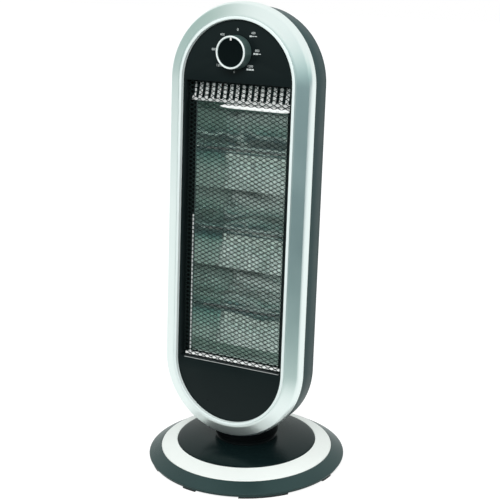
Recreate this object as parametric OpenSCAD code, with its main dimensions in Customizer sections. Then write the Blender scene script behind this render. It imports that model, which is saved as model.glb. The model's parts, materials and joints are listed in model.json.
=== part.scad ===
// Halogen heater: a tall round-ended head that swings on a round weighted base.
// Millimetres, +Z up, the front faces -Y. The origin is the middle of the base, on the floor.
// Inside the head, x runs to the right, y runs back from the lip of the front ring and
// z runs up the head from the centre of its lower arc. The head leans back as a whole.

/* [Base] */
// Radius of the base at its rim
base_r = 130; // [122:1:160]
// Height of the rim's edge above the floor
rim_z = 7; // [6:0.5:9]
// Radius of the trim ring's outer edge
ring_outer_r = 113.5; // [106:0.5:118]
// Height of the trim ring's outer edge
ring_outer_z = 17; // [15.5:0.5:19]
// Radius of the trim ring's inner edge
ring_inner_r = 92; // [84:0.5:98]
// Height of the trim ring's inner edge
ring_inner_z = 25; // [24:0.5:27]
// Thickness of the trim ring
ring_t = 1.3; // [0.8:0.1:1.6]
// Wall of the base cover
cover_wall = 2.6; // [2:0.1:3]
// Height of the dome where it meets the collar
dome_z = 31; // [29.5:0.5:33]
// Radius of the collar under the neck
collar_r = 39; // [37:0.5:41]
// Height of the collar's top
collar_z = 36; // [35:0.5:40]
// Height of the feet
foot_h = 2.5; // [2:0.1:3]
// Turn of the feet round the base
foot_turn = -6.5; // [-20:0.5:20]
// Thickness of the bottom plate
plate_t = 2; // [1.5:0.1:2.5]
// Outer radius of the ballast ring
weight_r = 98; // [88:1:102]
// Inner radius of the ballast ring
weight_bore = 46; // [40:1:54]
// Thickness of the ballast ring
weight_t = 6; // [4:0.5:8]

/* [Tilt switch] */
// Distance of the tilt plunger from the middle
tip_r = 70; // [66:1:74]
// Travel of the tilt plunger
tip_travel = 5; // [3:0.5:5.5]
// Radius of the tilt plunger's stem
tip_stem_r = 3.2; // [2.5:0.1:3.5]

/* [Neck and swing drive] */
// Radius of the neck
neck_r = 42; // [41.5:0.5:46]
// Wall of the neck shroud
neck_wall = 2.4; // [1.8:0.1:2.6]
// Radius of the pivot tube
tube_r = 12; // [10:0.5:13]
// Wall of the pivot tube
tube_wall = 3.2; // [2:0.1:4]
// Radius of the pivot's shoulder
shoulder_r = 20; // [18:0.5:24]
// Radial running clearance of the turning parts
run_gap = 0.05; // [0.02:0.01:0.1]
// Height of the drive shelf above the floor
shelf_z = 84; // [82:1:90]
// Thickness of the swing bracket's plates
bracket_t = 2.5; // [2:0.1:3]
// Module of the drive gears
gear_module = 1.5; // [1.2:0.1:1.6]
// Teeth of the fixed gear
gear_teeth = 32; // [28:4:32]
// Teeth of the pinion
pinion_teeth = 16; // [14:2:16]
// Face width of the fixed gear
gear_w = 6; // [4:0.5:7]
// Radius of the swing motor
motor_r = 24; // [20:1:26]
// Height of the swing motor
motor_h = 18; // [14:1:22]
// Half angle of the swing stop
stop_half = 34; // [20:1:36]

/* [Head] */
// Backward lean of the head, in degrees
lean = 4; // [0:0.5:6]
// Height of the lower arc's centre above the floor
head_z = 145.5; // [145:0.5:150]
// Place of the lip plane in front of the swing axis, at the lower arc's centre
head_front = 52; // [49:0.5:54]
// Distance between the centres of the two end arcs
head_len = 358; // [300:1:420]
// Depth of the head from the lip to the back
head_depth = 105; // [100:1:112]
// Outer radius of the front ring
bezel_r = 98; // [97:0.5:104]
// Depth of the front ring
bezel_depth = 22; // [21.5:0.5:26]
// Radius of the front ring's lip
lip_r = 76.6; // [76:0.2:78]
// Width of the lip
lip_w = 3.6; // [3:0.1:4.2]
// Depth of the panel behind the lip
panel_v = 4.6; // [4:0.1:5.4]
// Depth of the sloping face of the ring at its outer edge
facet_v = 7.6; // [6:0.1:8.5]
// Depth at which the ring's shoulder turns into its side
shoulder_v = 12.4; // [11:0.1:15]
// Wall of the plastic mouldings of the head
wall = 2.4; // [2:0.1:2.8]
// Radius of the rear cover
shell_r = 92.5; // [91:0.5:94]
// Depth at which the rear cover starts to narrow
shell_side_v = 62; // [56:1:68]
// How far the back is drawn in from the sides
back_inset = 33; // [30:1:40]
// How much lower the rear cover's bottom arc is centred
shell_drop = 5; // [0:0.5:5]

/* [Grille and reflector] */
// Half width of the opening in the panel
open_half = 72.5; // [71.5:0.1:73.5]
// Thickness of the front panel
panel_t = 2.4; // [2:0.1:3]
// Depth of the guard mesh
guard_v = 12.2; // [10:0.1:13]
// Thickness of the guard mesh
guard_t = 1.2; // [0.8:0.1:1.5]
// Width of the mesh's solid border
guard_rim = 2.3; // [1.8:0.1:3]
// Diamonds across the guard mesh
mesh_cols = 6; // [4:1:8]
// Diamonds up the guard mesh
mesh_rows = 26; // [16:1:30]
// Width of the mesh's strands
strand = 1.6; // [1.2:0.1:2]
// Depth of the inner frame's front face
frame_v = 17; // [16:0.5:17.5]
// Sheet thickness of the inner frame
frame_t = 1.2; // [1:0.1:1.5]
// Half width of the inner frame's window
window_half = 64.5; // [63:0.5:66]
// Sheet thickness of the reflector
reflector_t = 1; // [0.8:0.1:1.2]
// Depth of the ridges between the troughs
ridge_v = 44; // [42:0.5:46]
// Depth of the troughs
trough_v = 59; // [56:0.5:60]
// Vent slots in the comb above the reflector
comb_slots = 15; // [9:1:17]
// Width of one vent slot
comb_slot_w = 3.7; // [3:0.1:4.2]
// Height of the comb
comb_h = 24; // [20:0.5:28]

/* [Lamps] */
// Number of lamps
lamp_count = 3; // [2:1:3]
// Radius of a lamp's glass tube
lamp_r = 5; // [4.5:0.1:5.5]
// Wall of the glass tube
lamp_wall = 1; // [0.8:0.1:1.2]
// Depth of the lamps behind the lip
lamp_v = 36; // [34:0.5:38]
// Side of a square end cap
cap_side = 14; // [13:0.5:15]
// Length of an end cap
cap_len = 15; // [13:0.5:16]

/* [Knob] */
// Sideways place of the knob
knob_x = -1.5; // [-4:0.1:4]
// Height of the knob above the upper arc's centre
knob_rise = 37.5; // [34:0.5:42]
// Radius of the knob
knob_r = 20.4; // [17:0.1:23]
// How far the knob's face stands in front of the panel
knob_h = 16.8; // [14:0.1:20]
// Gap between the knob and the panel
knob_gap = 0.8; // [0.4:0.1:1.5]
// Radius of the switch shaft
shaft_r = 3; // [2.5:0.1:3.2]

/* [Hidden] */
$fn = 96;
over = 1;              // how far a cutting solid runs past what it cuts
far = 600;             // reach of a cutting solid that passes through everything
fit = 0.2;             // gap between fixed pieces that slide together
air = 0.3;             // gap between pieces that move past each other

// ---- derived sizes of the base
arm_y0 = neck_r - 12;                            // inner face of the swing bracket's arms
skirt_in = 2.6;                                  // how far the skirt stands in from the rim
skirt_r = base_r - skirt_in;
plate_r = skirt_r - cover_wall - fit;
plate_top = foot_h + plate_t;
skirt_top = rim_z - 1.6;
boss_r = 4;
screw_r = 1.4;
screw_head_r = 3.1;
screw_head_h = 1.4;
foot_w = 8;
foot_in_r = skirt_r - 0.4 - foot_w;
base_screw_ring = min(ring_outer_r - 7, foot_in_r - screw_head_r - 2);
base_screw_len = 10;
boss_top_z = ring_z(base_screw_ring + boss_r) - ring_t - 0.6;
gland_r = 4.6;                                   // bush in the rear where a lead would enter
gland_z = plate_top + gland_r + 1.9;
gland_y0 = ring_outer_r - 16;
gland_y1 = base_r - 4;
tube_flange_r = 32;
tube_flange_t = 3;
shoulder_top = collar_z + 0.3;
washer_t = 1.2;
disc_z = shoulder_top + washer_t + air;          // underside of the turning disc
disc_top = disc_z + bracket_t;
bush_r = tube_r + 3;
bush_rim_t = 2;
nut_z = disc_top + bush_rim_t + air;
nut_h = 8;
stop_z = nut_z + nut_h + 3;
stop_t = 4;
stop_r = arm_y0 + 3.6;                           // reaches past the inner face of the arms
gear_z = shelf_z - 4 - gear_w;
tube_top = shelf_z - 1;
neck_z = disc_z - 0.8;
gear_pitch_r = gear_module * gear_teeth / 2;
pinion_pitch_r = gear_module * pinion_teeth / 2;
drive_x = gear_pitch_r + pinion_pitch_r;
arm_half = 10;
well_r = neck_r - 6;                             // hole in the head's floor for the bracket
shelf_r = drive_x + motor_r - 2;
shelf_left = 46;
motor_bore_r = shaft_r + run_gap;

// ---- derived sizes of the tilt switch
tip_collar_t = 1.5;
tip_collar_r = tip_stem_r + 2.3;
tip_collar_z = plate_top + tip_travel + 0.2;     // underside of the collar when the heater stands
tip_house_z = tip_collar_z + tip_collar_t + 5.6;
tip_house_h = tip_travel + 2.2;
tip_wire_r = 0.45;
tip_turns = 5;

// ---- derived sizes of the head
panel_r = lip_r + 2.8;
panel_back = panel_v + panel_t;
facet_r = bezel_r - 3;
bezel_flange_r = shell_r - 4.5;
frame_back = frame_v + frame_t;
flange_back = frame_back + reflector_t;
frame_r = min(bezel_flange_r, bezel_r - wall) - 0.5;
shell_inner_r = shell_r - wall;
back_r = shell_r - back_inset;
edge_in = 4;                                     // rounding of the back's edge
boss_top = [36, 36];                             // sideways, and above the upper arc's centre
boss_bottom = [50, 22];                          // sideways, and below the lower arc's centre
panel_boss_r = 3.8;
post_r = 4.8;
post_bore_r = 3.4;
post_floor = frame_back + 6;
knob_w = head_len + knob_rise;
knob_face = panel_v - knob_h;
knob_back = panel_v - knob_gap;
slot_rows = 9;
slot_pitch = 9;
slot_w = 4;
slot_len = 84;
bottom_w = 6;                                    // lower edge of the inner frame's window
comb_top = head_len - 1;
comb_bottom = comb_top - comb_h;
trough_bottom = bottom_w + 7;
trough_top = comb_bottom - 10;
trough_pitch = (trough_top - trough_bottom) / lamp_count;
cap_air = 7.1;                                   // between an end cap and the rear cover
cap_x1 = shell_inner_r - cap_air;
cap_x0 = cap_x1 - cap_len;
tray_half = cap_x0 - 1 - reflector_t;
flange_half = tray_half + 5.5;
shield_v = trough_v + reflector_t + 3;
shield_half = shell_inner_r - 3.5;
stub_r = lamp_r - lamp_wall - 0.2;
rail_v = lamp_v + cap_side / 2;
switch_half = 14;
switch_back = panel_back + 18;
bushing_r = 4.5;

shelf_w = (shelf_z - head_z) / cos(lean) + frame_back * tan(lean);   // where it meets the frame
wire_r = 3;
wire_air = 28;                                   // from the rear cover's side to the leads
terminal_size = [30, 13, 14];
terminal_at = [-34, -8];
terminal_top = shelf_z + bracket_t + terminal_size.z + wire_r + 0.3;
terminal_v = (terminal_at.y + head_front) * cos(lean) - (terminal_top - head_z) * sin(lean);
terminal_w = (terminal_at.y + head_front) * sin(lean) + (terminal_top - head_z) * cos(lean);

// Height of the cover's cone at a radius between the trim ring's edges.
function ring_z(r) = ring_inner_z
    + (ring_outer_z - ring_inner_z) * (r - ring_inner_r) / (ring_outer_r - ring_inner_r);
function lamp_w(i) = trough_bottom + trough_pitch * (i + 0.5);
// A quadratic curve from a to c that is drawn towards b.
function curve(a, b, c, n) =
    [for (i = [0:n]) let(t = i / n) a * (1 - t) * (1 - t) + b * 2 * t * (1 - t) + c * t * t];
function polar(r, a) = [r * cos(a), r * sin(a)];

// ---- shared shapes
module head_place() {
    translate([0, -head_front, head_z]) rotate([-lean, 0, 0]) children();
}
// A flat plate with two round ends, from depth v0 to v1. The lower end can be centred lower.
module slab(r, v0, v1, drop = 0) {
    translate([0, v0, 0]) rotate([-90, 0, 0]) linear_extrude(v1 - v0) {
        translate([0, drop]) circle(r);
        translate([0, -head_len]) circle(r);
        translate([-r, -head_len]) square([2 * r, head_len + drop]);
    }
}
// Sweeps a radius-depth profile round the two arcs and along the two straight sides.
module round_sweep(drop = 0) {
    translate([0, 0, -drop]) rotate([-90, 0, 0]) rotate_extrude(angle = 180) children();
    translate([0, 0, head_len]) mirror([0, 0, 1]) rotate([-90, 0, 0])
        rotate_extrude(angle = 180) children();
    for (side = [0, 1]) mirror([side, 0, 0])
        translate([0, 0, -drop]) linear_extrude(head_len + drop) children();
}
module block(x0, x1, v0, v1, w0, w1) {
    translate([x0, v0, w0]) cube([x1 - x0, v1 - v0, w1 - w0]);
}
module rod_back(x, w, r, v0, v1) {
    translate([x, v0, w]) rotate([-90, 0, 0]) cylinder(r = r, h = v1 - v0);
}
module rod_across(v, w, r, x0, x1) {
    translate([x0, v, w]) rotate([0, 90, 0]) cylinder(r = r, h = x1 - x0);
}
// Extrudes a depth-height outline across the head, from x = -half to x = half.
module across(half) {
    rotate([90, 0, 90]) translate([0, 0, -half]) linear_extrude(2 * half) children();
}
module four_bosses() {
    for (side = [-1, 1]) {
        translate([side * boss_top.x, 0, head_len + boss_top.y]) children();
        translate([side * boss_bottom.x, 0, -boss_bottom.y]) children();
    }
}
module screw(r, head_r, head_h, length) {
    cylinder(r = head_r, h = head_h);
    translate([0, 0, head_h]) cylinder(r = r, h = length);
}

// ---- base
module plate_holes() {
    for (a = [0:60:300]) rotate(a) translate([base_screw_ring, 0, 0]) children();
}
module flange_holes() {
    for (a = [0:72:288]) rotate(a) translate([0, tube_flange_r - 6, 0]) children();
}
module base_cover_section() {
    polygon(concat(
        [[skirt_r, foot_h], [skirt_r, skirt_top]],
        [[base_r - 0.6, rim_z - 1], [base_r, rim_z - 0.4], [base_r, rim_z + 0.2], [base_r - 0.7, rim_z + 0.8]],
        [[ring_outer_r, ring_outer_z], [ring_outer_r, ring_outer_z - ring_t],
         [ring_inner_r, ring_inner_z - ring_t], [ring_inner_r, ring_inner_z]],
        curve([ring_inner_r - 1, ring_inner_z + 0.3], [collar_r + 24, dome_z],
              [collar_r + 1.5, dome_z], 8),
        [[collar_r, dome_z + 1.2], [collar_r, collar_z - 0.8], [collar_r - 0.8, collar_z],
         [shoulder_r + air, collar_z], [shoulder_r + air, collar_z - cover_wall],
         [collar_r - cover_wall, collar_z - cover_wall], [collar_r - cover_wall, dome_z - cover_wall]],
        curve([collar_r + 1, dome_z - cover_wall], [collar_r + 22, dome_z - cover_wall],
              [ring_inner_r - 1.4, ring_inner_z - ring_t - cover_wall], 8),
        [[ring_outer_r - 1.2, ring_outer_z - ring_t - cover_wall],
         [skirt_r - cover_wall, skirt_top + 1.2], [skirt_r - cover_wall, foot_h]]));
}
module base_cover() {
    color([0.2, 0.24, 0.25]) {
        difference() {
            rotate_extrude() base_cover_section();
            translate([0, 0, gland_z]) rotate([-90, 0, 0])
                cylinder(r = gland_r + 0.05, h = base_r);
        }
        plate_holes() translate([0, 0, plate_top]) difference() {
            cylinder(r = boss_r, h = boss_top_z - plate_top);
            translate([0, 0, -over]) cylinder(r = screw_r, h = base_screw_len - plate_t + over);
        }
    }
}
module cord_gland() {
    color([0.12, 0.12, 0.12]) translate([0, gland_y0, gland_z]) rotate([-90, 0, 0]) difference() {
        union() {
            cylinder(r = gland_r, h = gland_y1 - gland_y0);
            cylinder(r = gland_r + 1.6, h = 2);
        }
        translate([0, 0, -over]) cylinder(r = gland_r - 1.2, h = gland_y1 - gland_y0 + 2 * over);
    }
}
module base_ring() {
    color([0.86, 0.88, 0.88]) rotate_extrude() polygon([
        [ring_inner_r + 0.1, ring_z(ring_inner_r + 0.1) - ring_t],
        [ring_outer_r - 0.1, ring_z(ring_outer_r - 0.1) - ring_t],
        [ring_outer_r - 0.1, ring_z(ring_outer_r - 0.1)],
        [ring_outer_r - 0.7, ring_z(ring_outer_r - 0.7) + 0.3],
        [ring_inner_r + 0.7, ring_z(ring_inner_r + 0.7) + 0.3],
        [ring_inner_r + 0.1, ring_z(ring_inner_r + 0.1)]]);
}
module base_plate() {
    color([0.25, 0.26, 0.27]) difference() {
        translate([0, 0, foot_h]) cylinder(r = plate_r, h = plate_t);
        plate_holes() cylinder(r = screw_r + fit, h = far);
        translate([-tip_r, 0, 0]) cylinder(r = tip_stem_r + air, h = far);
        flange_holes() cylinder(r = screw_r + fit, h = far);
    }
}
module base_screws() {
    color([0.6, 0.6, 0.6]) {
        plate_holes() translate([0, 0, foot_h - screw_head_h])
            screw(screw_r - 0.05, screw_head_r, screw_head_h, base_screw_len - 0.5);
        flange_holes() translate([0, 0, foot_h - screw_head_h])
            screw(screw_r, screw_head_r, screw_head_h, plate_t + tube_flange_t - 0.4);
    }
}
module base_weight() {
    color([0.3, 0.3, 0.32]) difference() {
        translate([0, 0, plate_top]) cylinder(r = weight_r, h = weight_t);
        cylinder(r = weight_bore, h = far);
        translate([-tip_r, 0, 0]) cube([28, 22, far], center = true);
        translate([-9, weight_bore - 4, 0]) cube([18, weight_r, far]);
    }
}
// One foot is a curved pad between two radii, so many degrees wide.
module foot(width) {
    rotate(-width / 2) rotate_extrude(angle = width)
        translate([foot_in_r, 0]) square([foot_w, foot_h]);
}
module feet() {
    color([0.1, 0.1, 0.1]) rotate(foot_turn) {
        for (a = [45:90:315]) rotate(a) foot(29);
        for (a = [0:90:270]) rotate(a) foot(8.6);
    }
}

// ---- tilt switch
module tip_place() {
    translate([-tip_r, 0, 0]) children();
}
module tip_plunger() {
    color([0.85, 0.2, 0.15]) tip_place() {
        cylinder(r = tip_stem_r, h = tip_house_z + tip_travel + 0.6);
        translate([0, 0, tip_collar_z]) cylinder(r = tip_collar_r, h = tip_collar_t);
    }
}
// A coil of round wire on the plunger's stem.
module tip_spring() {
    rings = tip_turns * 8;
    sides = 6;
    r = tip_stem_r + air + tip_wire_r + 0.2;
    z0 = tip_collar_z + tip_collar_t + tip_wire_r + 0.02;
    rise = tip_house_z - tip_collar_z - tip_collar_t - 2 * tip_wire_r - 0.04;
    points = [for (i = [0:rings]) let(a = i * 45, z = z0 + rise * i / rings)
        for (k = [0:sides - 1]) let(b = 360 * k / sides, q = r + tip_wire_r * cos(b))
            [q * cos(a), q * sin(a), z + tip_wire_r * sin(b)]];
    skin = [for (i = [0:rings - 1]) for (k = [0:sides - 1])
        let(m = (k + 1) % sides, a = i * sides + k, b = i * sides + m)
            for (t = [0, 1]) t == 0 ? [a, a + sides, b] : [b, a + sides, b + sides]];
    ends = concat([for (k = [1:sides - 2]) [0, k, k + 1]],
        [for (k = [1:sides - 2]) [rings * sides, rings * sides + k + 1, rings * sides + k]]);
    color([0.7, 0.7, 0.72]) tip_place() polyhedron(points, concat(skin, ends));
}
module tip_switch() {
    leg = 2.4;
    color([0.15, 0.15, 0.16]) tip_place() difference() {
        union() {
            translate([-7, -8.5, tip_house_z]) cube([14, 17, tip_house_h]);
            for (side = [-1, 1]) translate([-5, side > 0 ? 8.5 - leg : -8.5, plate_top])
                cube([10, leg, tip_house_z - plate_top]);
        }
        translate([0, 0, tip_house_z - over])
            cylinder(r = tip_stem_r + air, h = over + tip_travel + 1.2);
    }
}

// ---- pivot and swing drive
module pivot_tube() {
    color([0.55, 0.57, 0.6]) difference() {
        union() {
            translate([0, 0, plate_top]) cylinder(r = tube_flange_r, h = tube_flange_t);
            translate([0, 0, plate_top]) cylinder(r = shoulder_r, h = shoulder_top - plate_top);
            translate([0, 0, plate_top]) cylinder(r = tube_r, h = tube_top - plate_top);
        }
        cylinder(r = tube_r - tube_wall, h = tube_top + over);
        flange_holes() translate([0, 0, plate_top - over])
            cylinder(r = screw_r, h = tube_flange_t + over - 0.2);
    }
}
module thrust_washer() {
    color([0.93, 0.93, 0.9]) translate([0, 0, shoulder_top]) difference() {
        cylinder(r = shoulder_r + 8, h = washer_t);
        translate([0, 0, -over]) cylinder(r = tube_r + fit, h = washer_t + 2 * over);
    }
}
module pivot_nut() {
    color([0.62, 0.62, 0.64]) translate([0, 0, nut_z]) difference() {
        cylinder(r = tube_r + 7, h = nut_h, $fn = 6);
        translate([0, 0, -over]) cylinder(r = tube_r, h = nut_h + 2 * over);
    }
}
// A straight-flanked gear with one tooth centred on +X.
module gear_outline(teeth) {
    r = gear_module * teeth / 2;
    tip = r + gear_module * 0.9;
    root = r - gear_module * 1.2;
    pitch = 360 / teeth;
    half = [pitch * 0.3, pitch * 0.235, pitch * 0.135];
    polygon([for (i = [0:teeth - 1]) each [polar(root, i * pitch - half[0]),
        polar(r, i * pitch - half[1]), polar(tip, i * pitch - half[2]),
        polar(tip, i * pitch + half[2]), polar(r, i * pitch + half[1]),
        polar(root, i * pitch + half[0])]]);
}
module swing_gear() {
    color([0.9, 0.88, 0.8]) difference() {
        union() {
            translate([0, 0, gear_z]) linear_extrude(gear_w) gear_outline(gear_teeth);
            translate([0, 0, gear_z - 4]) cylinder(r = tube_r + 3.5, h = 5);
        }
        translate([0, 0, gear_z - 5]) cylinder(r = tube_r, h = gear_w + 10);
    }
}
module swing_stop() {
    color([0.5, 0.52, 0.55]) translate([0, 0, stop_z]) difference() {
        union() {
            cylinder(r = tube_r + 4, h = stop_t);
            intersection() {
                cylinder(r = stop_r, h = stop_t);
                linear_extrude(stop_t)
                    polygon([[0, 0], polar(2 * stop_r, -stop_half), polar(2 * stop_r, stop_half)]);
            }
        }
        translate([0, 0, -over]) cylinder(r = tube_r, h = stop_t + 2 * over);
    }
}
module drive_pinion() {
    color([0.93, 0.9, 0.82]) translate([drive_x, 0, 0]) {
        translate([0, 0, gear_z + 0.5]) linear_extrude(gear_w - 1)
            rotate(pinion_teeth % 2 == 0 ? 180 / pinion_teeth : 0) gear_outline(pinion_teeth);
        translate([0, 0, gear_z + 1]) cylinder(r = shaft_r + 2.5, h = shelf_z - gear_z - 1.6);
        translate([0, 0, gear_z + 1]) cylinder(r = shaft_r, h = shelf_z + bracket_t + 6 - gear_z);
    }
}
module swing_motor() {
    top = shelf_z + bracket_t;
    color([0.75, 0.75, 0.72]) translate([drive_x, 0, top]) difference() {
        union() {
            cylinder(r = motor_r, h = motor_h);
            for (side = [-1, 1]) translate([-5, side > 0 ? 0 : -motor_r - 7, 0])
                cube([10, motor_r + 7, 1.5]);
            translate([-7, -5, motor_h - 0.5]) cube([14, 10, 4.5]);
        }
        translate([0, 0, -over]) cylinder(r = motor_bore_r, h = over + 8);
        for (side = [-1, 1]) translate([0, side * (motor_r + 4), -over])
            cylinder(r = screw_r, h = 4);
    }
}
module motor_screws() {
    color([0.6, 0.6, 0.6]) for (side = [-1, 1])
        translate([drive_x, side * (motor_r + 4), shelf_z + bracket_t + 1.5 + 1.2])
            mirror([0, 0, 1]) screw(screw_r, 2.6, 1.2, bracket_t + 2);
}
// Turning disc, two arms up through the head's floor, and the shelf that carries the motor.
module swing_bracket() {
    color([0.66, 0.68, 0.7]) difference() {
        union() {
            translate([0, 0, disc_z]) cylinder(r = neck_r - neck_wall - fit, h = bracket_t);
            for (side = [-1, 1]) translate([-arm_half, side > 0 ? arm_y0 : -arm_y0 - 3, disc_z])
                cube([2 * arm_half, 3, shelf_z - disc_z + 0.5]);
            translate([0, 0, shelf_z]) intersection() {
                translate([-shelf_left, -head_front, 0])
                    cube([shelf_left + shelf_r, head_front + arm_y0 + 3, bracket_t]);
                cylinder(r = shelf_r, h = bracket_t);
            }
            head_place() block(-36, 36, frame_back, frame_back + bracket_t, shelf_w - 8, shelf_w + 30);
        }
        translate([0, 0, disc_z - over]) cylinder(r = bush_r, h = bracket_t + 2 * over);
        translate([0, 0, shelf_z - over]) cylinder(r = tube_r, h = bracket_t + 2 * over);
        translate([drive_x, 0, shelf_z - over]) cylinder(r = shaft_r + 3.5, h = bracket_t + 2 * over);
        for (side = [-1, 1]) translate([drive_x, side * (motor_r + 4), shelf_z - over])
            cylinder(r = screw_r, h = bracket_t + 2 * over);
        head_place() block(-far, far, -far, frame_back, -far, far);
    }
}
module swing_bush() {
    color([0.95, 0.95, 0.92]) difference() {
        union() {
            translate([0, 0, disc_z]) cylinder(r = bush_r, h = bracket_t + 0.5);
            translate([0, 0, disc_top]) cylinder(r = bush_r + 3.5, h = bush_rim_t);
        }
        translate([0, 0, disc_z - over]) cylinder(r = tube_r + run_gap, h = 20);
    }
}
module neck_shroud() {
    color([0.07, 0.08, 0.08]) difference() {
        translate([0, 0, neck_z]) cylinder(r = neck_r, h = head_z - neck_z - 10);
        translate([0, 0, neck_z - over]) cylinder(r = neck_r - neck_wall, h = head_z);
        head_place() {
            translate([0, 0, -shell_drop]) rotate([-90, 0, 0])
                rotate_extrude() head_section(bezel_depth - over);
            rod_back(0, 0, bezel_r, -over, bezel_depth);
        }
    }
}

// ---- head: mouldings
module bezel_section() {
    polygon(concat(
        [[lip_r - 0.8, panel_v]],
        curve([lip_r, 0.8], [lip_r + 0.05, 0], [lip_r + 0.9, 0], 4),
        curve([lip_r + lip_w - 0.9, 0], [lip_r + lip_w - 0.05, 0], [lip_r + lip_w, 0.8], 4),
        [[lip_r + lip_w + 0.3, 1.3]],
        curve([facet_r, facet_v], [bezel_r, facet_v + 1.4], [bezel_r, shoulder_v], 8),
        [[bezel_r, bezel_depth], [bezel_flange_r, bezel_depth], [bezel_flange_r, bezel_depth - wall],
         [bezel_r - wall, bezel_depth - wall], [bezel_r - wall, shoulder_v + 0.4],
         [facet_r - 0.8, facet_v + wall * 1.05], [panel_r, panel_v - 0.7],
         [lip_r + 1.9, panel_v - 0.7], [lip_r + 1.9, panel_v]]));
}
module front_bezel() {
    color([0.82, 0.84, 0.84]) head_place() round_sweep() bezel_section();
}
module front_panel() {
    edge = 1.6;
    color([0.06, 0.06, 0.07]) head_place() difference() {
        union() {
            slab(panel_r, panel_v, panel_back);
            block(-open_half - edge, open_half + edge, panel_v, frame_v, -edge, head_len + edge);
            four_bosses() rod_back(0, 0, panel_boss_r, panel_back - 0.5, frame_v);
        }
        block(-open_half, open_half, 0, frame_v + over, 0, head_len);
        rod_back(knob_x, knob_w, bushing_r + fit, 0, frame_v);
        four_bosses() rod_back(0, 0, screw_r, panel_back, frame_v + over);
    }
}
// The rear cover's outer radius at each depth, from the front ring to the flat back.
function back_curve(r, v, r_end, v_end) =
    concat(curve([r, v], [r - back_inset * 0.42, v + (v_end - v) * 0.6],
                 [r_end + edge_in, v_end - edge_in * 0.7], 12),
           curve([r_end + edge_in * 0.8, v_end - edge_in * 0.5], [r_end + edge_in * 0.2, v_end],
                 [r_end - edge_in, v_end], 4));
module head_section(front) {
    polygon(concat([[0, front], [shell_r, front]],
        back_curve(shell_r, shell_side_v, back_r, head_depth), [[0, head_depth]]));
}
module head_solid() {
    round_sweep(shell_drop) head_section(bezel_depth);
}
module head_hollow() {
    round_sweep(shell_drop) polygon(concat([[0, bezel_depth - over], [shell_inner_r, bezel_depth - over]],
        back_curve(shell_inner_r, shell_side_v, back_r - wall * 0.6, head_depth - wall),
        [[0, head_depth - wall]]));
}
module vent_slots(w0) {
    for (i = [0:slot_rows - 1])
        block(-slot_len / 2, slot_len / 2, head_depth - wall - over, head_depth + over,
              w0 + i * slot_pitch, w0 + i * slot_pitch + slot_w);
}
module rear_cover() {
    color([0.13, 0.15, 0.16]) difference() {
        union() {
            head_place() difference() {
                head_solid();
                head_hollow();
                vent_slots(head_len - 62);
                vent_slots(8);
            }
            head_place() intersection() {
                four_bosses() rod_back(0, 0, post_r, frame_back, head_depth);
                union() {
                    slab(shell_r - 1, frame_back, bezel_depth + 1, shell_drop);
                    head_solid();
                }
            }
        }
        head_place() {
            four_bosses() rod_back(0, 0, post_bore_r, post_floor, head_depth + over);
            four_bosses() rod_back(0, 0, screw_r + fit, 0, head_depth);
        }
        translate([0, 0, neck_z]) cylinder(r = well_r, h = shelf_z - neck_z - 14);
    }
}
module cover_screws() {
    color([0.6, 0.6, 0.6]) head_place() four_bosses() translate([0, post_floor + 2, 0])
        rotate([90, 0, 0]) screw(screw_r - 0.05, post_bore_r - 0.2, 2, post_floor - panel_back - 2);
}

// ---- head: frame, guard and reflector
module inner_frame() {
    color([0.05, 0.05, 0.05]) head_place() difference() {
        slab(frame_r, frame_v, frame_back);
        block(-window_half, window_half, 0, far, bottom_w, comb_bottom);
        block(-flange_half + 4, flange_half - 4, 0, far, comb_bottom - over, comb_top);
        block(knob_x - switch_half - 1, knob_x + switch_half + 1, 0, far,
              knob_w - switch_half - 1, knob_w + switch_half + 1);
        four_bosses() rod_back(0, 0, screw_r + fit, 0, far);
        shield_bosses() rod_back(0, 0, screw_r, 0, far);
    }
}
module guard_frame() {
    half = open_half - fit;
    color([0.05, 0.05, 0.05]) head_place() difference() {
        block(-half, half, guard_v + guard_t, frame_v, fit, head_len - fit);
        block(-half + guard_rim, half - guard_rim, 0, far, fit + guard_rim, head_len - fit - guard_rim);
    }
}
// Expanded-metal guard: a plate with rows of diamonds between its strands.
module guard_mesh() {
    half = open_half - fit;
    x0 = -half + guard_rim;
    w0 = fit + guard_rim;
    step_x = 2 * (half - guard_rim) / mesh_cols;
    step_w = (head_len - 2 * w0) / mesh_rows;
    slope = norm([step_x, step_w]) / 2;
    a = step_x / 2 - strand * slope / step_w;
    b = step_w / 2 - strand * slope / step_x;
    centres = concat(
        [for (i = [0:mesh_cols - 1]) for (j = [0:mesh_rows - 1])
            [x0 + (i + 0.5) * step_x, w0 + (j + 0.5) * step_w]],
        [for (i = [1:mesh_cols - 1]) for (j = [1:mesh_rows - 1]) [x0 + i * step_x, w0 + j * step_w]]);
    corners = [[-half, fit], [half, fit], [half, head_len - fit], [-half, head_len - fit]];
    diamonds = [for (c = centres) each [c + [a, 0], c + [0, b], c + [-a, 0], c + [0, -b]]];
    paths = concat([[0, 1, 2, 3]], [for (k = [1:len(centres)]) [4 * k, 4 * k + 1, 4 * k + 2, 4 * k + 3]]);
    color([0.1, 0.11, 0.11]) head_place() translate([0, guard_v + guard_t, 0]) rotate([90, 0, 0])
        linear_extrude(guard_t) polygon(concat(corners, diamonds), paths);
}
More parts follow.
